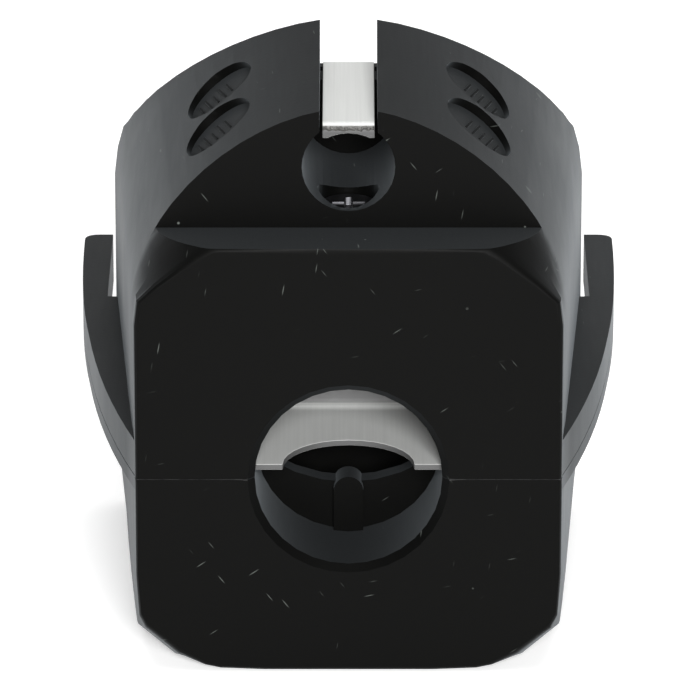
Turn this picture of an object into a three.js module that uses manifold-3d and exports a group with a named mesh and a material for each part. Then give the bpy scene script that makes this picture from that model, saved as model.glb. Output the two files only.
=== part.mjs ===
// Fence insulator for an electric rope gate: a two-part moulded housing that straddles a round post,
// a stainless contact strap held between its halves, and a terminal screw in the wire hole.
// Millimetres, +Z up. The front face looks along -Y and the post stands behind, along +Y.

import * as THREE from "three";
import { mergeVertices } from "three/addons/utils/BufferGeometryUtils.js";
import Module from "manifold-3d";

const wasm = await Module();
wasm.setup();

// ---- Driving dimensions -------------------------------------------------------------------------

// Front block
const FRONT_WIDTH = 42.8;
const LEDGE_HEIGHT = 45.4; // underside to the top of the front block
const LEDGE_DEPTH = 6.35; // front face to the flat face under the crown
const SEAM_HEIGHT = 20.9; // where the two housing halves meet
const SEAM_GAP = 0.1;
const UPPER_CUT = [7.4, 5.6]; // corner cut at the top of the front block: across, down
const LOWER_CUT = [6.7, 5.5];
const CORNER_POWER = 45; // how tightly the front outline turns its corners: higher is sharper
const FRONT_ROUND = 0.6; // radius of the edge round the front face

// Barrel behind the block
const CROWN_CENTRE_HEIGHT = 37.2;
const CROWN_RADIUS = 20.2; // at the plane of the front face
const CROWN_FLARE = 0.095; // growth of the crown radius for each mm of depth
const CROWN_POWER = 1.75; // exponent of the crown's curve: 2 is an ellipse, lower is more pointed
const SIDE_FLARE = 0.07; // growth of the half width for each mm of depth
const FOOT_ROUNDING = 18; // exponent of the rounded lower corners: higher is squarer
const ANGLE_STEPS = 56;
const CORNER_CLEARANCE = 0.03; // radians kept free of other points beside each corner of the front

// Post fork
const POST_RADIUS = 24.65;
const POST_CLEARANCE = 0.35;
const SADDLE_WALL = 28.6; // front face to the nearest point of the post saddle
const ARM_REACH = 61; // front face to the arm ends
const HORN_CUT = 7; // the barrel stops this far short of the post's middle
const ARM_GAP = 0.4; // between the post saddle's width and each arm
const ARM_WALL = 3;
const ARM_ROOT = 42; // depth at which the arms leave the barrel
const ARM_BEND = 30; // depth at which the arms' outer faces run straight
const ARM_RISE = 3.8; // arm thickness above the seam
const ARM_DROP = 1.5; // and below it
const ARM_CORNER = 1.6;
const ARM_START = 1; // depth at which the arms leave the front corners
const ARM_OVERLAP = 2; // how far the arms are let into the barrel

// Hook socket through the front face
const SOCKET_RADIUS = 9.4;
const SOCKET_LIP = 0.7; // width and depth of the lead-in at the mouth
const SOCKET_DEPTH = 19.4;
const WEB_DEPTH = 10; // front face to the web under the contact plate
const WEB_WALL = 2;
const WEB_DIP = 4.3; // seam to the lowest point of the web's hollow edge
const WEB_EDGE_RADIUS = 14;
const RIB_WIDTH = 3;
const RIB_PROUD = 0.9;
const RIB_TOP = 3.4; // seam to the top of the rib

// Wire hole and slot in the crown
const WIRE_RADIUS = 4.65;
const WIRE_HEIGHT = 51.8;
const WIRE_DEPTH = 23.6;
const SLOT_WIDTH = 5.8;

// Contact strap
const STRAP_THICKNESS = 0.6;
const STRAP_GAP = 0.3; // to the housing, all round
const PLATE_FRONT = 1.7; // front face to the plate's front edge
const PLATE_HALF_WIDTH = 12;
const PLATE_BEND = 17.6; // front face to the bend at the back of the plate
const NOTCH_RADIUS = 6.6;
const RISER_HALF_WIDTH = 7;
const RISER_SHOULDER = 12.5; // seam to the height where the riser narrows
const STRIP_WIDTH = 5.2;
const STRIP_HEIGHT = 34.8; // seam to the middle of the strip's thickness
const STRIP_FRONT = 7.6;
const STRIP_BACK = 27.3;
const STRIP_LIP = 1.2; // how far the strip's front end turns down
const LIP_HOLLOW = 0.5; // depth of the hollow in the lip's end
const BEND_RADIUS = 1.1;
const BEND_STEPS = 4;

// Terminal screw and its nut
const TERMINAL_DEPTH = 10.2; // front face to the screw's axis
const TERMINAL_RADIUS = 1.95;
const TERMINAL_THREAD_GAP = 0.06;
const TERMINAL_HEAD = [2.8, 1.6]; // radius, height
const TERMINAL_SINK = 0.5; // head top below the floor of the wire hole
const NUT_FLATS = 7;
const NUT_HEIGHT = 3.2;
const NUT_SINK = 0.5; // top of the hook socket to the nut
const CROSS = [1.7, 0.35]; // half length and half width of the screws' cross recess
const CROSS_DEPTH = 0.9;

// Housing screws
const SCREW_SIDES = 16;
const SCREW_RADIUS = 1.75;
const SCREW_HEAD = [2.8, 2];
const SCREW_LENGTH = 25;
const SCREW_SINK = 2; // underside to the head
const SCREW_FRONT = [15.4, 9]; // half spacing, depth
const SCREW_REAR = [18.3, 30.5];
const PIECE_GAP = 0.3; // between pieces that don't turn or slide

// Date and material pockets on the crown
const POCKET_RADIUS = 4.1;
const POCKET_DEPTH = 1;
const POCKET_SIDE = 13.3;
const POCKET_SPOTS = [14.6, 23.3]; // front face to each pocket's middle

// ---- Solids -------------------------------------------------------------------------------------

const FAR = 100; // longer than any cut needs to be
const SIDES = 32;
const PAST = 1; // how far a cut starts outside the surface it goes through

function solid(geometry) {
  const bare = geometry.index ? geometry.toNonIndexed() : geometry.clone();
  bare.deleteAttribute("normal");
  bare.deleteAttribute("uv");
  const merged = mergeVertices(bare, 1e-4);
  return new wasm.Manifold(
    new wasm.Mesh({
      numProp: 3,
      vertProperties: merged.attributes.position.array,
      triVerts: new Uint32Array(merged.index.array),
    }),
  );
}

function geometryOf(body) {
  const mesh = body.getMesh();
  const geometry = new THREE.BufferGeometry();
  geometry.setAttribute("position", new THREE.BufferAttribute(mesh.vertProperties, 3));
  geometry.setIndex(new THREE.BufferAttribute(mesh.triVerts, 1));
  geometry.computeVertexNormals();
  return geometry;
}

function box([x0, x1], [y0, y1], [z0, z1]) {
  const geometry = new THREE.BoxGeometry(x1 - x0, y1 - y0, z1 - z0);
  return solid(geometry.translate((x0 + x1) / 2, (y0 + y1) / 2, (z0 + z1) / 2));
}

// A post along Z between two heights; a hexagon where sides is 6.
function upright(radius, [z0, z1], x, y, sides = SIDES) {
  const geometry = new THREE.CylinderGeometry(radius, radius, z1 - z0, sides).rotateX(Math.PI / 2);
  return solid(geometry.translate(x, y, (z0 + z1) / 2));
}

// A bore along Y between two depths, its radius changing from front to back.
function bore(frontRadius, backRadius, [y0, y1], z) {
  const geometry = new THREE.CylinderGeometry(backRadius, frontRadius, y1 - y0, SIDES);
  return solid(geometry.translate(0, (y0 + y1) / 2, z));
}

// A plan outline, in X and Y, pulled up between two heights.
function slab(shape, [z0, z1]) {
  const settings = { depth: z1 - z0, bevelEnabled: false, curveSegments: SIDES / 4 };
  return solid(new THREE.ExtrudeGeometry(shape, settings).translate(0, 0, z0));
}

// ---- Barrel -------------------------------------------------------------------------------------

const halfWidthAt = (y) => FRONT_WIDTH / 2 + SIDE_FLARE * y;
const crownRadiusAt = (y) => CROWN_RADIUS + CROWN_FLARE * y;

const SADDLE_RADIUS = POST_RADIUS + POST_CLEARANCE;
const POST_DEPTH = SADDLE_WALL + SADDLE_RADIUS;
const BARREL_DEPTH = POST_DEPTH - HORN_CUT;

// Distance from the crown's centre to a straight line through two points, along a direction.
function toLine([x1, z1], [x2, z2], c, s) {
  const nx = z2 - z1;
  const nz = x1 - x2;
  const along = nx * Math.abs(c) + nz * s;
  const away = nx * x1 + nz * z1;
  return along * away > 0 ? away / along : Infinity;
}

// Outline of the front face, seen from the crown's centre.
const TOP = LEDGE_HEIGHT - CROWN_CENTRE_HEIGHT;
const SIDE = FRONT_WIDTH / 2;
const FOOT = -CROWN_CENTRE_HEIGHT;
const UPPER_EDGE = [[SIDE, TOP - UPPER_CUT[1]], [SIDE - UPPER_CUT[0], TOP]];
const LOWER_EDGE = [[SIDE, FOOT + LOWER_CUT[1]], [SIDE - LOWER_CUT[0], FOOT]];

function frontReach(c, s) {
  const side = SIDE / Math.max(Math.abs(c), 1e-9);
  const level = s > 0 ? TOP / s : FOOT / Math.min(s, -1e-9);
  const reaches = [side, level, toLine(...UPPER_EDGE, c, s), toLine(...LOWER_EDGE, c, s)];
  return reaches.reduce((sum, reach) => sum + reach ** -CORNER_POWER, 0) ** (-1 / CORNER_POWER);
}

// Outline of the barrel at a depth: a domed crown over upright sides and rounded lower corners.
function barrelReach(c, s, y) {
  const width = halfWidthAt(y);
  const side = Math.abs(c) / width;
  const [level, power] = s > 0 ? [s / crownRadiusAt(y), CROWN_POWER] : [s / FOOT, FOOT_ROUNDING];
  return Math.pow(side ** power + level ** power, -1 / power);
}

// How far the rounded front edge draws the outline in at a depth.
function edgeInset(y) {
  const left = Math.max(FRONT_ROUND - y, 0);
  return FRONT_ROUND - Math.sqrt(FRONT_ROUND ** 2 - left ** 2);
}

function outlineAngles() {
  const corners = [...UPPER_EDGE, ...LOWER_EDGE].map(([x, z]) => Math.atan2(z, x));
  const mirrored = corners.map((a) => (a > 0 ? Math.PI - a : -Math.PI - a));
  const even = [];
  for (let i = 0; i < ANGLE_STEPS; i++) even.push(-Math.PI + (2 * Math.PI * i) / ANGLE_STEPS);
  const nearCorner = (a) => [...corners, ...mirrored].some((k) => Math.abs(k - a) < CORNER_CLEARANCE);
  return [...even.filter((a) => !nearCorner(a)), ...corners, ...mirrored].sort((a, b) => a - b);
}

function barrel() {
  const angles = outlineAngles();
  const edge = [0, 0.1, 0.4].map((t) => t * FRONT_ROUND);
  const blend = [0, 0.15, 0.3, 0.5, 0.75, 1].map((t) => FRONT_ROUND + t * (LEDGE_DEPTH - FRONT_ROUND));
  const run = [0.25, 0.5, 0.75, 1].map((t) => LEDGE_DEPTH + t * (BARREL_DEPTH - LEDGE_DEPTH));
  const depths = [...edge, ...blend, ...run];
  const points = [];
  for (const y of depths) {
    const ease = Math.sin((Math.PI / 2) * Math.min(y / LEDGE_DEPTH, 1));
    for (const a of angles) {
      const [c, s] = [Math.cos(a), Math.sin(a)];
      const reach = (1 - ease) * frontReach(c, s) + ease * barrelReach(c, s, y) - edgeInset(y);
      points.push(c * reach, y, CROWN_CENTRE_HEIGHT + s * reach);
    }
  }
  const n = angles.length;
  const faces = [];
  for (let row = 0; row + 1 < depths.length; row++)
    for (let i = 0; i < n; i++) {
      const [a, b] = [row * n + i, row * n + ((i + 1) % n)];
      faces.push(a, b + n, b, a, a + n, b + n);
    }
  const front = points.push(0, 0, CROWN_CENTRE_HEIGHT) / 3 - 1;
  const back = points.push(0, BARREL_DEPTH, CROWN_CENTRE_HEIGHT) / 3 - 1;
  const last = (depths.length - 1) * n;
  for (let i = 0; i < n; i++) {
    faces.push(front, i, (i + 1) % n);
    faces.push(back, last + ((i + 1) % n), last + i);
  }
  const geometry = new THREE.BufferGeometry();
  geometry.setAttribute("position", new THREE.Float32BufferAttribute(points, 3));
  geometry.setIndex(faces);
  return solid(geometry);
}

// One arm of the fork in plan: a strip that leaves the barrel's front corner and runs back past the
// post's middle, free of the barrel behind its root.
function arm(side) {
  const inner = SADDLE_RADIUS + ARM_GAP;
  const outer = inner + ARM_WALL;
  const start = FRONT_WIDTH / 2 - ARM_OVERLAP;
  const bend = (inner + outer) / 2;
  const shape = new THREE.Shape();
  shape.moveTo(side * start, ARM_START);
  shape.lineTo(side * (FRONT_WIDTH / 2), ARM_START);
  shape.quadraticCurveTo(side * inner, ARM_BEND / 2, side * bend, ARM_BEND);
  shape.quadraticCurveTo(side * outer, ARM_ROOT, side * outer, ARM_REACH - ARM_CORNER);
  shape.quadraticCurveTo(side * outer, ARM_REACH, side * (outer - ARM_CORNER), ARM_REACH);
  shape.lineTo(side * inner, ARM_REACH);
  shape.lineTo(side * inner, ARM_ROOT);
  shape.lineTo(side * start, ARM_ROOT);
  return slab(shape, [SEAM_HEIGHT - ARM_DROP, SEAM_HEIGHT + ARM_RISE]);
}

// ---- Contact strap ------------------------------------------------------------------------------

// Middle line of the strap in Y and Z: plate, leaning riser, strip and its turned-down lip.
const PLATE_HEIGHT = SEAM_HEIGHT + SEAM_GAP / 2 + STRAP_GAP + STRAP_THICKNESS / 2;
const STRIP_MIDDLE = SEAM_HEIGHT + STRIP_HEIGHT;
const STRAP_LINE = [
  [PLATE_FRONT, PLATE_HEIGHT],
  [PLATE_BEND, PLATE_HEIGHT],
  [STRIP_BACK, STRIP_MIDDLE],
  [STRIP_FRONT, STRIP_MIDDLE],
  [STRIP_FRONT, STRIP_MIDDLE - STRIP_LIP],
];

// Replaces each inner corner of a line with an arc's worth of points.
function rounded(line, radius) {
  const points = line.map(([y, z]) => new THREE.Vector2(y, z));
  const result = [points[0]];
  for (let i = 1; i + 1 < points.length; i++) {
    const before = points[i - 1].clone().sub(points[i]);
    const after = points[i + 1].clone().sub(points[i]);
    const trim = Math.min(radius, before.length() / 2, after.length() / 2);
    const start = points[i].clone().add(before.setLength(trim));
    const end = points[i].clone().add(after.setLength(trim));
    result.push(...new THREE.QuadraticBezierCurve(start, points[i], end).getPoints(BEND_STEPS));
  }
  result.push(points.at(-1));
  return result;
}

// The strap, or the room for it in the housing when grown by its gap.
function strap(grow = 0) {
  const line = rounded(STRAP_LINE, BEND_RADIUS);
  const half = STRAP_THICKNESS / 2 + grow;
  line[0].x -= grow;
  line.at(-1).y -= grow;
  const edge = (sign) => line.map((p, i) => {
    const ahead = line[Math.min(i + 1, line.length - 1)];
    const behind = line[Math.max(i - 1, 0)];
    const along = ahead.clone().sub(behind).normalize();
    return new THREE.Vector2(p.x - sign * half * along.y, p.y + sign * half * along.x);
  });
  const profile = new THREE.Shape([...edge(-1), ...edge(1).reverse()]);
  const width = 2 * (PLATE_HALF_WIDTH + grow);
  const geometry = new THREE.ExtrudeGeometry(profile, { depth: width, bevelEnabled: false });
  // The profile is drawn in Y and Z and pulled along X.
  const turn = new THREE.Matrix4().set(0, 0, 1, -width / 2, 1, 0, 0, 0, 0, 1, 0, 0, 0, 0, 0, 1);
  const full = solid(geometry.applyMatrix4(turn));
  const riserHalf = RISER_HALF_WIDTH + grow;
  const stripHalf = STRIP_WIDTH / 2 + grow;
  const plateTop = PLATE_HEIGHT + STRAP_THICKNESS + grow;
  const shoulder = SEAM_HEIGHT + RISER_SHOULDER + grow;
  const widths = box([-FAR, FAR], [-FAR, FAR], [0, plateTop])
    .add(box([-riserHalf, riserHalf], [-FAR, FAR], [0, shoulder]))
    .add(box([-stripHalf, stripHalf], [-FAR, FAR], [0, FAR]));
  return full.intersect(widths);
}

function contactStrap() {
  const notch = upright(NOTCH_RADIUS, [0, SEAM_HEIGHT + NOTCH_RADIUS], 0, PLATE_FRONT);
  const hollowTop = STRIP_MIDDLE - STRIP_LIP + LIP_HOLLOW;
  const lipSpan = [0, STRIP_FRONT + STRAP_THICKNESS];
  const lipEnd = bore(WIRE_RADIUS, WIRE_RADIUS, lipSpan, hollowTop - WIRE_RADIUS);
  return strap().subtract(notch).subtract(lipEnd);
}

// ---- Housing ------------------------------------------------------------------------------------

const TERMINAL_TOP = WIRE_HEIGHT - WIRE_RADIUS - TERMINAL_SINK;
const TERMINAL_SEAT = TERMINAL_TOP - TERMINAL_HEAD[1];
const NUT_BASE = SEAM_HEIGHT + SOCKET_RADIUS + NUT_SINK;

function screwSpots() {
  const spots = [];
  for (const [x, y] of [SCREW_FRONT, SCREW_REAR]) spots.push([-x, y], [x, y]);
  return spots;
}

function hookSocket() {
  const mouth = SOCKET_RADIUS + SOCKET_LIP;
  const deep = bore(SOCKET_RADIUS, SOCKET_RADIUS, [-PAST, SOCKET_DEPTH], SEAM_HEIGHT);
  const leadIn = bore(mouth + SOCKET_LIP, SOCKET_RADIUS, [-SOCKET_LIP, SOCKET_LIP], SEAM_HEIGHT);
  return deep.add(leadIn).subtract(web());
}

// The web stands in the lower half of the socket, under the plate, with a hollow upper edge and a rib.
function web() {
  const floor = SEAM_HEIGHT - SOCKET_RADIUS - PAST;
  const top = SEAM_HEIGHT - SEAM_GAP;
  const wall = box([-FAR, FAR], [WEB_DEPTH, WEB_DEPTH + WEB_WALL], [floor, top]);
  const edgeHeight = SEAM_HEIGHT - WEB_DIP + WEB_EDGE_RADIUS;
  const hollow = bore(WEB_EDGE_RADIUS, WEB_EDGE_RADIUS, [0, SOCKET_DEPTH], edgeHeight);
  const ribTop = SEAM_HEIGHT - RIB_TOP - RIB_WIDTH / 2;
  const ribSpan = [WEB_DEPTH - RIB_PROUD, WEB_DEPTH + WEB_WALL];
  const rib = box([-RIB_WIDTH / 2, RIB_WIDTH / 2], ribSpan, [floor, ribTop]).add(
    bore(RIB_WIDTH / 2, RIB_WIDTH / 2, ribSpan, ribTop),
  );
  return wall.subtract(hollow).add(rib);
}

function wireWay() {
  const hole = bore(WIRE_RADIUS, WIRE_RADIUS, [0, WIRE_DEPTH], WIRE_HEIGHT);
  const slotFloor = STRIP_MIDDLE - STRAP_THICKNESS / 2 - STRAP_GAP;
  return hole.add(box([-SLOT_WIDTH / 2, SLOT_WIDTH / 2], [-PAST, FAR], [slotFloor, FAR]));
}

function terminalWay() {
  const shank = TERMINAL_RADIUS + PIECE_GAP;
  const head = TERMINAL_HEAD[0] + PIECE_GAP;
  const nut = NUT_FLATS / Math.sqrt(3) + PIECE_GAP;
  const nutSpan = [SEAM_HEIGHT + SOCKET_RADIUS / 2, NUT_BASE + NUT_HEIGHT + PIECE_GAP];
  return upright(shank, [NUT_BASE, WIRE_HEIGHT], 0, TERMINAL_DEPTH)
    .add(upright(head, [TERMINAL_SEAT - PIECE_GAP, WIRE_HEIGHT], 0, TERMINAL_DEPTH))
    .add(upright(nut, nutSpan, 0, TERMINAL_DEPTH, 6));
}

function screwWays() {
  const headTop = SCREW_SINK + SCREW_HEAD[1];
  return screwSpots().map(([x, y]) =>
    upright(SCREW_RADIUS + PIECE_GAP, [-PAST, headTop + SCREW_LENGTH + PIECE_GAP], x, y, SCREW_SIDES).add(
      upright(SCREW_HEAD[0] + PIECE_GAP, [-PAST, headTop + PIECE_GAP], x, y, SCREW_SIDES),
    ),
  );
}

// Height of the crown's surface over its centre, at a distance to the side.
function crownRise(x, y) {
  const side = x / halfWidthAt(y);
  return crownRadiusAt(y) * Math.pow(1 - side ** CROWN_POWER, 1 / CROWN_POWER);
}

// Shallow round pockets, square to the crown's surface.
function crownPockets() {
  const pockets = [];
  for (const side of [-1, 1])
    for (const y of POCKET_SPOTS) {
      const rise = crownRise(POCKET_SIDE, y);
      const slope = (crownRise(POCKET_SIDE - 1, y) - crownRise(POCKET_SIDE + 1, y)) / 2;
      const cut = new THREE.CylinderGeometry(POCKET_RADIUS, POCKET_RADIUS, 2 * POCKET_DEPTH, SIDES);
      cut.rotateX(Math.PI / 2 + Math.atan(CROWN_FLARE)).rotateY(side * Math.atan(slope));
      pockets.push(solid(cut.translate(side * POCKET_SIDE, y, CROWN_CENTRE_HEIGHT + rise)));
    }
  return pockets;
}

function housing() {
  const underCrown = box([-FAR, FAR], [-PAST, LEDGE_DEPTH], [LEDGE_HEIGHT, FAR]);
  const saddle = upright(SADDLE_RADIUS, [-PAST, FAR], 0, POST_DEPTH, 2 * SIDES);
  const behind = box([-SADDLE_RADIUS, SADDLE_RADIUS], [BARREL_DEPTH - PAST, FAR], [-PAST, FAR]);
  const cuts = [underCrown, saddle, behind, hookSocket(), wireWay(), terminalWay(), strap(STRAP_GAP)];
  return [...cuts, ...screwWays(), ...crownPockets()].reduce(
    (body, cut) => body.subtract(cut),
    barrel().add(arm(-1)).add(arm(1)),
  );
}

function split(body) {
  const upper = box([-FAR, FAR], [-FAR, FAR], [SEAM_HEIGHT + SEAM_GAP / 2, FAR]);
  const lower = box([-FAR, FAR], [-FAR, FAR], [-FAR, SEAM_HEIGHT - SEAM_GAP / 2]);
  return [body.intersect(upper), body.intersect(lower)];
}

// ---- Screws and nut -----------------------------------------------------------------------------

// A cross recess sunk in a head that faces up or down.
function crossRecess(x, y, span) {
  const [long, short] = CROSS;
  const across = box([x - long, x + long], [y - short, y + short], span);
  return across.add(box([x - short, x + short], [y - long, y + long], span));
}

function terminalScrew() {
  const head = upright(TERMINAL_HEAD[0], [TERMINAL_SEAT, TERMINAL_TOP], 0, TERMINAL_DEPTH);
  const shank = upright(TERMINAL_RADIUS, [NUT_BASE, TERMINAL_TOP - CROSS_DEPTH], 0, TERMINAL_DEPTH);
  return head.add(shank).subtract(crossRecess(0, TERMINAL_DEPTH, [TERMINAL_TOP - CROSS_DEPTH, FAR]));
}

function terminalNut() {
  const hexagon = upright(NUT_FLATS / Math.sqrt(3), [NUT_BASE, NUT_BASE + NUT_HEIGHT], 0, TERMINAL_DEPTH, 6);
  return hexagon.subtract(upright(TERMINAL_RADIUS + TERMINAL_THREAD_GAP, [0, FAR], 0, TERMINAL_DEPTH));
}

function housingScrew(x, y) {
  const headTop = SCREW_SINK + SCREW_HEAD[1];
  const recessTop = SCREW_SINK + CROSS_DEPTH;
  const head = upright(SCREW_HEAD[0], [SCREW_SINK, headTop], x, y, SCREW_SIDES);
  const shank = upright(SCREW_RADIUS, [recessTop, headTop + SCREW_LENGTH], x, y, SCREW_SIDES);
  return head.add(shank).subtract(crossRecess(x, y, [0, recessTop]));
}

// ---- Assembly -----------------------------------------------------------------------------------

const blackNylon = { color: 0x1b1b1a, roughness: 0.42, metalness: 0 };
const stainless = { color: 0xb8babb, roughness: 0.3, metalness: 1 };
const zincSteel = { color: 0x9da0a3, roughness: 0.4, metalness: 1 };

function piece(name, body, finish) {
  const mesh = new THREE.Mesh(geometryOf(body), new THREE.MeshStandardMaterial(finish));
  mesh.name = name;
  return mesh;
}

const insulator = new THREE.Group();
const [upper, lower] = split(housing());
insulator.add(piece("upper_housing", upper, blackNylon));
insulator.add(piece("lower_housing", lower, blackNylon));
insulator.add(piece("contact_strap", contactStrap(), stainless));
insulator.add(piece("terminal_screw", terminalScrew(), stainless));
insulator.add(piece("terminal_nut", terminalNut(), stainless));
const screwNames = ["front_left", "front_right", "rear_left", "rear_right"];
screwSpots().forEach(([x, y], i) => {
  insulator.add(piece(`housing_screw_${screwNames[i]}`, housingScrew(x, y), zincSteel));
});

// The origin is on the underside, at the middle of the overall depth.
insulator.position.y = -ARM_REACH / 2;

export default insulator;
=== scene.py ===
import math
import random

import bmesh
import bpy
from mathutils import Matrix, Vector


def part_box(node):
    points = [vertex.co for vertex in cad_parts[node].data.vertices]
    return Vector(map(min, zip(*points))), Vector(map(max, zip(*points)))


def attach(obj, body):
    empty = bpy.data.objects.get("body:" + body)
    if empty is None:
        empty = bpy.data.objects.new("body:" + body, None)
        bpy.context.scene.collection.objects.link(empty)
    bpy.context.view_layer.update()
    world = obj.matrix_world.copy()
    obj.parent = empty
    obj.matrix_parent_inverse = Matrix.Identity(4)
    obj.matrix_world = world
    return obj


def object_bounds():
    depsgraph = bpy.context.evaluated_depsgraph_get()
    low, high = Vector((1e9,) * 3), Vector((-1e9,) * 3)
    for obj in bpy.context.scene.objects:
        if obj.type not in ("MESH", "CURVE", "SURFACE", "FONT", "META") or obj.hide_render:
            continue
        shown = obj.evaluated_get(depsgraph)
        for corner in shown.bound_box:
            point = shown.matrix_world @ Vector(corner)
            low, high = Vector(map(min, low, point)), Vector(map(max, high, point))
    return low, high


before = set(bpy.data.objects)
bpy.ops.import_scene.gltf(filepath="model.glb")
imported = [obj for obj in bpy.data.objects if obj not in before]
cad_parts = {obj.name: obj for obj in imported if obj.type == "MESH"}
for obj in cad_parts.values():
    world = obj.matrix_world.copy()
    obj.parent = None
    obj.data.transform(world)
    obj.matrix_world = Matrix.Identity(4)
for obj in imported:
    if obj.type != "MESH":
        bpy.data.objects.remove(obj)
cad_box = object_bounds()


# --- Moulded housing ----------------------------------------------------------------------------
# Both halves are injection moulded from black glass-filled nylon: a satin skin with a fine grain,
# slight sink and flow marks, pale rubs and short scratches from handling, and specks of dust.

MM = 0.001


class Value:
    """A number or a direction that varies over a surface, with the arithmetic of shader nodes."""

    def __init__(self, tree, socket):
        self.tree = tree
        self.socket = socket

    def make(self, kind, settings=None, output=0, **links):
        """Any other node: its type, its settings, and its sockets' values or links."""
        made = self.tree.nodes.new(kind)
        for name, value in (settings or {}).items():
            setattr(made, name, value)
        for name, value in links.items():
            key = int(name[1:]) if name[1:].isdigit() else name.replace("_", " ")
            if isinstance(value, Value):
                self.tree.links.new(value.socket, made.inputs[key])
            else:
                made.inputs[key].default_value = value
        return Value(self.tree, made.outputs[output])

    def math(self, operation, first, second):
        return self.make("ShaderNodeMath", {"operation": operation}, i0=first, i1=second)

    def __add__(self, other):
        return self.math("ADD", self, other)

    def __radd__(self, other):
        return self.math("ADD", other, self)

    def __sub__(self, other):
        return self.math("SUBTRACT", self, other)

    def __rsub__(self, other):
        return self.math("SUBTRACT", other, self)

    def __mul__(self, other):
        return self.math("MULTIPLY", self, other)

    def __rmul__(self, other):
        return self.math("MULTIPLY", other, self)

    def between(self, low, high):
        """0 below low and 1 above high; the other way round where low is the greater."""
        settings = {"interpolation_type": "SMOOTHSTEP"}
        if low < high:
            return self.make("ShaderNodeMapRange", settings, Value=self, From_Min=low, From_Max=high)
        return 1.0 - self.make("ShaderNodeMapRange", settings, Value=self, From_Min=high, From_Max=low)

    def tint(self, low, high):
        return self.make("ShaderNodeMix", {"data_type": "RGBA"}, 2, i0=self, i6=(*low, 1), i7=(*high, 1))

    def noise(self, scale, detail, seed=0.0):
        settings = {"noise_dimensions": "4D"}
        return self.make("ShaderNodeTexNoise", settings, Vector=self, Scale=scale, Detail=detail, W=seed)

    def cells(self, scale, seed=0.0):
        settings = {"voronoi_dimensions": "4D"}
        return self.make("ShaderNodeTexVoronoi", settings, Vector=self, Scale=scale, W=seed)

    def turned(self, turn, stretch):
        """Coordinates turned first and stretched after, for marks with a direction."""
        straight = self.make("ShaderNodeMapping", None, Vector=self, Rotation=turn)
        return straight.make("ShaderNodeMapping", None, Vector=straight, Scale=stretch)

    def bump(self, strength, distance):
        return self.make("ShaderNodeBump", None, "Normal", Height=self, Strength=strength, Distance=distance)


def new_material(name, **constants):
    """A material, its shader with the values that don't vary, and its object coordinates."""
    material = bpy.data.materials.new(name)
    material.use_nodes = True
    shader = material.node_tree.nodes["Principled BSDF"]
    for key, value in constants.items():
        shader.inputs[key.replace("_", " ")].default_value = value
    coordinates = material.node_tree.nodes.new("ShaderNodeTexCoord")
    return material, shader, Value(material.node_tree, coordinates.outputs["Object"])


def plug(value, shader, socket):
    value.tree.links.new(value.socket, shader.inputs[socket])


def scratches(place, turn, seed):
    """Short pale lines: long thin cells, kept only in scattered patches."""
    lines = place.turned(turn, (190.0, 190.0, 1900.0)).cells(1.0, seed)
    return lines.between(0.14, 0.06) * place.noise(90.0, 1.0, seed).between(0.50, 0.56)


def black_nylon():
    material, shader, place = new_material(
        "black_nylon", IOR=1.5, Specular_IOR_Level=NYLON_SHINE, Sheen_Weight=NYLON_BLOOM,
        Sheen_Roughness=0.4, Sheen_Tint=(0.86, 0.94, 1.0, 1.0),
    )
    grain = place.noise(2600.0, 4.0)
    flow = place.noise(70.0, 5.0)
    haze = place.noise(25.0, 2.0, 3.0)
    dust = place.cells(460.0).between(0.09, 0.05) * place.noise(140.0, 1.0, 5.0).between(0.50, 0.56)
    lines = scratches(place, (0.0, 0.6, 0.0), 1.0) + scratches(place, (0.1, -0.9, 0.1), 4.0)
    lines = lines + scratches(place, (0.0, 1.4, 0.2), 8.0) + scratches(place, (0.2, 0.2, 0.4), 11.0)
    marks = place.math("MINIMUM", lines * 0.6 + dust, 1.0)
    drag = place.turned((0.0, 0.0, 0.0), (2400.0, 200.0, 60.0)).noise(1.0, 2.0, 2.0)
    plug(marks.tint(NYLON_BLACK, NYLON_RUBBED), shader, "Base Color")
    plug(0.30 + 0.16 * flow + 0.14 * haze + 0.25 * marks + 0.08 * drag, shader, "Roughness")
    plug((grain * 0.35 + flow * 0.5 + marks * 0.8 + drag * 0.12).bump(0.35, 0.06 * MM), shader, "Normal")
    return material


def dress(thing, material):
    thing.data.materials.clear()
    thing.data.materials.append(material)


def smooth(thing):
    for face in thing.data.polygons:
        face.use_smooth = True


def round_edges(node, width, segments):
    """Softens a CAD node's hard edges the way a mould or a blanking tool leaves them."""
    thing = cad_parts[node]
    thing.modifiers.new("one skin", "WELD").merge_threshold = 0.002 * MM
    flat = thing.modifiers.new("flat faces", "DECIMATE")
    flat.decimate_type = "DISSOLVE"
    flat.angle_limit = math.radians(FLAT_LIMIT)
    edge = thing.modifiers.new("soft edges", "BEVEL")
    edge.width = width
    edge.segments = segments
    edge.limit_method = "ANGLE"
    edge.angle_limit = math.radians(EDGE_LIMIT)
    edge.miter_outer = "MITER_ARC"
    smooth(thing)
    thing.modifiers.new("even shading", "WEIGHTED_NORMAL").keep_sharp = True
    return thing


NYLON_SHINE = 0.06
NYLON_BLOOM = 0.10  # the matt haze that glass fibre gives a moulded skin at a low angle
NYLON_BLACK = (0.0013, 0.0013, 0.0011)
NYLON_RUBBED = (0.10, 0.11, 0.10)
FLAT_LIMIT = 0.4  # degrees between faces that count as one
EDGE_LIMIT = 26  # degrees between faces that meet at an edge
nylon = black_nylon()
for half in ("upper_housing", "lower_housing"):
    dress(round_edges(half, 0.3 * MM, 3), nylon)


# --- Seam flash ---------------------------------------------------------------------------------
# A paper-thin web of nylon that squeezed out where the halves' mould closes. It follows the seam
# across the front face and has torn into small flakes beside the socket.

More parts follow.
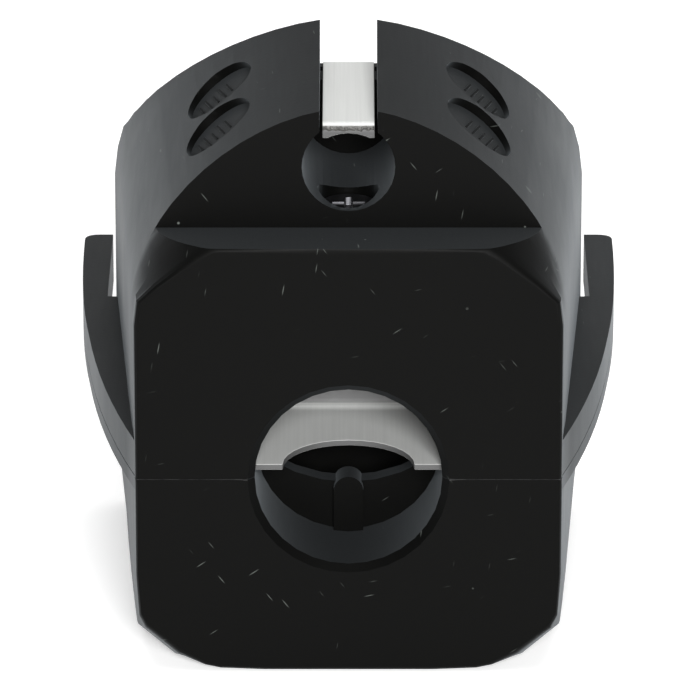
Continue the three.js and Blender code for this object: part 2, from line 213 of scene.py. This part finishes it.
FLASH_SEED = 20
SOCKET_MOUTH = 10.1 * MM
SEAM_END = 21.2 * MM
FLASH_STEP = 0.35 * MM
FLASH_ROOT = 0.1 * MM  # how far the flash reaches back into the front face
FLASH_PROUD = (0.01, 0.03, 0.16)  # mm: least, random part, random part beside the socket
FLASH_RISE = (0.04, 0.05, 0.22)  # mm over the seam, in the same order
FLASH_DROP = (0.05, 0.12)  # mm under the seam: everywhere, more beside the socket
FLASH_CREST = 0.05 * MM  # the crest's height over the seam
FLAKE_STEPS = 5  # steps from the socket over which the flakes die away


def new_piece(name, mesh, material):
    """An object made from a bmesh, which rides on the housing and wears the material it is given."""
    data = bpy.data.meshes.new(name)
    mesh.to_mesh(data)
    mesh.free()
    thing = bpy.data.objects.new(name, data)
    bpy.context.scene.collection.objects.link(thing)
    dress(thing, material)
    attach(thing, "housing")
    return thing


def torn_by(sizes, near_socket, dice):
    """A torn edge's size: a least size, a random part, and a random part beside the socket."""
    least, anywhere, beside = sizes
    return (least + anywhere * dice.random() + beside * near_socket * dice.random()) * MM


def skin_rows(mesh, rows):
    """Closes a run of three-cornered rows into one body."""
    for one, two in zip(rows, rows[1:]):
        for a, b in ((0, 1), (1, 2), (2, 0)):
            mesh.faces.new((one[a], one[b], two[b], two[a]))
    mesh.faces.new(rows[0])
    mesh.faces.new(rows[-1])
    bmesh.ops.recalc_face_normals(mesh, faces=mesh.faces)


def flash_run(mesh, start, end, dice):
    """One run of torn flash from beside the socket to the housing's side."""
    front = cad_box[0].y
    steps = int(abs(end - start) / FLASH_STEP)
    rows = []
    for i in range(steps + 1):
        x = start + (end - start) * i / steps
        near_socket = max(0.0, 1 - i / FLAKE_STEPS)
        proud = torn_by(FLASH_PROUD, near_socket, dice)
        rise = torn_by(FLASH_RISE, near_socket, dice)
        low = seam_height - (FLASH_DROP[0] + FLASH_DROP[1] * near_socket) * MM
        rows.append([
            mesh.verts.new((x, front + FLASH_ROOT, low)),
            mesh.verts.new((x, front - proud, seam_height + FLASH_CREST)),
            mesh.verts.new((x, front + FLASH_ROOT, seam_height + rise)),
        ])
    skin_rows(mesh, rows)


def flash_nylon():
    material, shader, place = new_material("flash_nylon", IOR=1.5)
    torn = place.noise(1800.0, 4.0)
    plug(torn.tint((0.004, 0.004, 0.004), (0.05, 0.05, 0.05)), shader, "Base Color")
    plug(0.4 + 0.3 * torn, shader, "Roughness")
    plug(torn.bump(0.6, 0.05 * MM), shader, "Normal")
    return material


seam_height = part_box("lower_housing")[1].z
torn_edge = flash_nylon()
for side, name in ((-1, "seam_flash_left"), (1, "seam_flash_right")):
    mesh = bmesh.new()
    flash_run(mesh, side * SOCKET_MOUTH, side * SEAM_END, random.Random(FLASH_SEED + side))
    new_piece(name, mesh, torn_edge)


# --- Pocket marks -------------------------------------------------------------------------------
# The four round pockets in the crown carry moulded marks. They are shown as plain raised strokes
# that stand for no letters, and are part of the upper half.

POCKET_SIDE = 13.3 * MM
POCKET_SPOTS = (14.6 * MM, 23.3 * MM)
STROKE = (0.32 * MM, 0.22 * MM)  # width, height over the pocket's floor
MARK_TILT = 0.35  # radians that the strokes lean outward
STROKE_RINGS = ((-0.5, 1.0), (0.6, 1.0), (1.0, 0.6))  # height and width, as parts of the stroke's
STROKES = ((-1.8, 1.7), (-0.9, 2.3), (0.0, 1.5), (0.9, 2.3), (1.8, 1.7))  # place and length, mm


def add_stroke(mesh, centre, along, across, up, size):
    """A raised bar with a narrower top, on three directions of its own."""
    width, length, height = size
    corners = ((-1, -1), (1, -1), (1, 1), (-1, 1))
    rings = []
    for level, shrink in STROKE_RINGS:
        rings.append([
            mesh.verts.new(
                centre + across * (i * width / 2 * shrink) + along * (j * (length - width * (1 - shrink)) / 2)
                + up * (level * height)
            )
            for i, j in corners
        ])
    for low, high in zip(rings, rings[1:]):
        for i in range(4):
            mesh.faces.new((low[i], low[(i + 1) % 4], high[(i + 1) % 4], high[i]))
    mesh.faces.new(rings[0][::-1])
    mesh.faces.new(rings[-1])


def pocket_marks(name, x, y, tilt):
    """Strokes laid on the pocket's floor, found by looking straight down on the upper half."""
    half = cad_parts["upper_housing"]
    hit, floor, up, _ = half.ray_cast(Vector((x, y, 1.0)), Vector((0, 0, -1)))
    if not hit:
        raise ValueError(name + " has no floor to stand on")
    mesh = bmesh.new()
    along = (Vector((math.sin(tilt), math.cos(tilt), 0)) - up * up.y * math.cos(tilt)).normalized()
    across = along.cross(up).normalized()
    for place, length in STROKES:
        centre = floor + across * (place * MM)
        add_stroke(mesh, centre, along, across, up, (STROKE[0], length * MM, STROKE[1]))
    bmesh.ops.recalc_face_normals(mesh, faces=mesh.faces)
    new_piece(name, mesh, nylon)


for side, word in ((-1, "left"), (1, "right")):
    for spot, row in zip(POCKET_SPOTS, ("front", "rear")):
        pocket_marks(f"pocket_marks_{row}_{word}", side * POCKET_SIDE, cad_box[0].y + spot, side * MARK_TILT)


# --- Contact strap ------------------------------------------------------------------------------
# One blank of rolled stainless sheet, sheared, bent and left bright, with fine lines along its
# rolling direction. It runs from the hook socket up to the wire hole and joins the two.

def facing_up(place):
    """How far a surface faces up or down. The strap's colour uses it as painted light: flats facing up or
    down are coloured bright as if lit, sheared edges and bends dark as if shaded.
    """
    tree = place.tree
    normal = Value(tree, tree.nodes.new("ShaderNodeTexCoord").outputs["Normal"])
    parts = normal.make("ShaderNodeSeparateXYZ", None, "Z", Vector=normal)
    return parts.math("ABSOLUTE", parts, 0.0)


def rolled_stainless():
    material, shader, place = new_material(
        "rolled_stainless", Metallic=STEEL_METALLIC, Specular_IOR_Level=0.2
    )
    streaks = place.turned((0.0, 0.0, 0.0), (4000.0, 60.0, 60.0)).noise(1.0, 3.0)
    cloud = place.noise(120.0, 3.0, 1.0)
    rub = place.turned((0.3, 0.2, 0.5), (300.0, 900.0, 300.0)).cells(1.0, 2.0).between(0.12, 0.05)
    # Painted light: faces that point up or down get a bright base colour, steeper faces a dark one, with the
    # rolling streaks on top.
    flat = facing_up(place).between(0.35, 0.9)
    painted_light_and_streaks = flat * (0.7 + 0.2 * streaks + 0.1 * cloud)
    plug(painted_light_and_streaks.tint((0.09, 0.09, 0.09), (0.80, 0.81, 0.79)), shader, "Base Color")
    plug(0.30 + 0.14 * streaks + 0.06 * cloud + 0.2 * rub, shader, "Roughness")
    plug((streaks + rub * 0.5).bump(0.2, 0.02 * MM), shader, "Normal")
    return material


STEEL_METALLIC = 0.15  # the oxide skin and roller marks scatter most of the light
stainless = rolled_stainless()
dress(round_edges("contact_strap", 0.08 * MM, 2), stainless)


# --- Sheared burr -------------------------------------------------------------------------------
# The torn lower side of the shear cut, left along the bend at the strip's front end.

BURR_STEP = 0.13 * MM
BURR_SEED = 7
BURR_DEPTH = 7.3 * MM  # front face to the strip's sheared end
BURR_ROOT = (0.15 * MM, 0.1 * MM)  # how far its top and bottom edges reach back into the strip
STRIP_HALF = 2.55 * MM


def burr():
    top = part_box("contact_strap")[1].z
    dice = random.Random(BURR_SEED)
    front = cad_box[0].y + BURR_DEPTH
    mesh = bmesh.new()
    rows = []
    steps = int(2 * STRIP_HALF / BURR_STEP)
    for i in range(steps + 1):
        x = -STRIP_HALF + 2 * STRIP_HALF * i / steps
        crest = top - (0.25 + 0.12 * dice.random()) * MM
        depth = 0.12 + 0.16 * dice.random()
        rows.append([
            mesh.verts.new((x, front + BURR_ROOT[0], crest)),
            mesh.verts.new((x, front - depth * MM, crest - (0.1 + 0.2 * dice.random()) * MM)),
            mesh.verts.new((x, front + BURR_ROOT[1], crest - (0.42 + 0.2 * dice.random()) * MM)),
        ])
    skin_rows(mesh, rows)
    new_piece("sheared_burr", mesh, torn_steel())


def torn_steel():
    material, shader, place = new_material("torn_steel", Metallic=0.8)
    tear = place.noise(3500.0, 5.0)
    plug(tear.tint((0.05, 0.05, 0.05), (0.42, 0.41, 0.39)), shader, "Base Color")
    plug(0.35 + 0.4 * tear, shader, "Roughness")
    plug(tear.bump(0.8, 0.06 * MM), shader, "Normal")
    return material


burr()


# --- Terminal screw and nut ---------------------------------------------------------------------
# A stainless cross-head screw pinches the wire's end from below. It turns in a hexagon nut that
# is held in a pocket of the upper half.

def turned_steel():
    material, shader, place = new_material("turned_steel", Metallic=1.0)
    rings = place.noise(900.0, 4.0)
    plug(rings.tint((0.04, 0.04, 0.045), (0.16, 0.16, 0.17)), shader, "Base Color")
    plug(0.34 + 0.2 * rings, shader, "Roughness")
    plug(rings.bump(0.25, 0.02 * MM), shader, "Normal")
    return material


steel = turned_steel()
for name in ("terminal_screw", "terminal_nut"):
    dress(round_edges(name, 0.12 * MM, 2), steel)


# --- Housing screws -----------------------------------------------------------------------------
# Four zinc-plated thread-forming screws, driven from below, hold the two halves together.

def zinc_plate():
    material, shader, place = new_material("zinc_plate", Metallic=1.0)
    mottle = place.noise(400.0, 5.0)
    plug(mottle.tint((0.42, 0.43, 0.42), (0.66, 0.67, 0.66)), shader, "Base Color")
    plug(0.32 + 0.2 * mottle, shader, "Roughness")
    plug(mottle.bump(0.2, 0.03 * MM), shader, "Normal")
    return material


zinc = zinc_plate()
for name in sorted(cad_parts):
    if name.startswith("housing_screw"):
        dress(round_edges(name, 0.12 * MM, 2), zinc)


# --- Table, wall and light ----------------------------------------------------------------------
# A white table that curves up into a white wall, with a soft box in front to fill the openings,
# one overhead and one at each side. Beyond them the room is dim.

SWEEP_HALF = 4.0
SWEEP_FRONT = -4.0
SWEEP_BACK = 2.6
SWEEP_BEND = 1.2
SWEEP_STEPS = 24
WALL_HEIGHT = 4.0
TABLE_GLOW = 0.3  # keeps the table white where the object shades it
ROOM_GLOW = 0.15


def white_paper():
    material, shader, place = new_material("white_paper")
    fibre = place.noise(300.0, 3.0)
    plug(fibre.tint((0.93, 0.93, 0.93), (0.96, 0.96, 0.96)), shader, "Base Color")
    plug(0.85 + 0.1 * fibre, shader, "Roughness")
    shader.inputs["Emission Color"].default_value = (1, 1, 1, 1)
    shader.inputs["Emission Strength"].default_value = TABLE_GLOW
    return material


def table_sweep():
    """The table and the wall in one curved sheet, wide enough to fill every view."""
    profile = [(SWEEP_FRONT, 0.0)]
    for i in range(SWEEP_STEPS + 1):
        turn = math.radians(90 * i / SWEEP_STEPS)
        profile.append((SWEEP_BACK - SWEEP_BEND * (1 - math.sin(turn)), SWEEP_BEND * (1 - math.cos(turn))))
    profile.append((SWEEP_BACK, WALL_HEIGHT))
    mesh = bmesh.new()
    rows = [[mesh.verts.new((x, y, z)) for x in (-SWEEP_HALF, SWEEP_HALF)] for y, z in profile]
    for near, far in zip(rows, rows[1:]):
        mesh.faces.new((near[0], near[1], far[1], far[0]))
    data = bpy.data.meshes.new("table_sweep")
    mesh.to_mesh(data)
    mesh.free()
    thing = bpy.data.objects.new("table_sweep", data)
    bpy.context.scene.collection.objects.link(thing)
    smooth(thing)
    dress(thing, white_paper())


def soft_box(name, place, size, power):
    light = bpy.data.lights.new(name, "AREA")
    light.shape = "RECTANGLE"
    light.size, light.size_y = size
    light.energy = power
    thing = bpy.data.objects.new(name, light)
    bpy.context.scene.collection.objects.link(thing)
    thing.location = place
    thing.rotation_mode = "QUATERNION"
    thing.rotation_quaternion = (-Vector(place)).to_track_quat("-Z", "Y")


table_sweep()
soft_box("front_box", (0.12, -1.3, 0.55), (0.5, 0.4), 27)
soft_box("overhead_box", (0, 0.1, 1.1), (1.0, 1.0), 5)
soft_box("left_box", (-1.1, 0.3, 0.4), (0.8, 0.8), 2.5)
soft_box("right_box", (1.1, 0.3, 0.4), (0.8, 0.8), 2.5)

world = bpy.data.worlds.new("studio")
world.use_nodes = True
world.node_tree.nodes["Background"].inputs["Color"].default_value = (1, 1, 1, 1)
world.node_tree.nodes["Background"].inputs["Strength"].default_value = ROOM_GLOW
bpy.context.scene.world = world
bpy.context.scene.view_settings.view_transform = "Standard"


# --- Camera -------------------------------------------------------------------------------------
# A long lens a little above the insulator, square to its front face, as a catalogue shows it.

LENS_TILT = math.radians(21)
LENS_DISTANCE = 700 * MM
LENS_RISE = 13.2 * MM  # the picture's middle over the seam, across the line of sight
LENS_LENGTH = 362  # mm

look_up = Vector((0, math.sin(LENS_TILT), math.cos(LENS_TILT)))
look_in = Vector((0, math.cos(LENS_TILT), -math.sin(LENS_TILT)))
aim = Vector((-0.05 * MM, cad_box[0].y, seam_height)) + LENS_RISE * look_up
camera = bpy.data.objects.new("catalogue_camera", bpy.data.cameras.new("catalogue_camera"))
bpy.context.scene.collection.objects.link(camera)
camera.location = aim - LENS_DISTANCE * look_in
camera.rotation_euler = (math.radians(90) - LENS_TILT, 0, 0)
camera.data.lens = LENS_LENGTH
camera.data.clip_start = 0.01
camera.data.clip_end = 20
bpy.context.scene.camera = camera
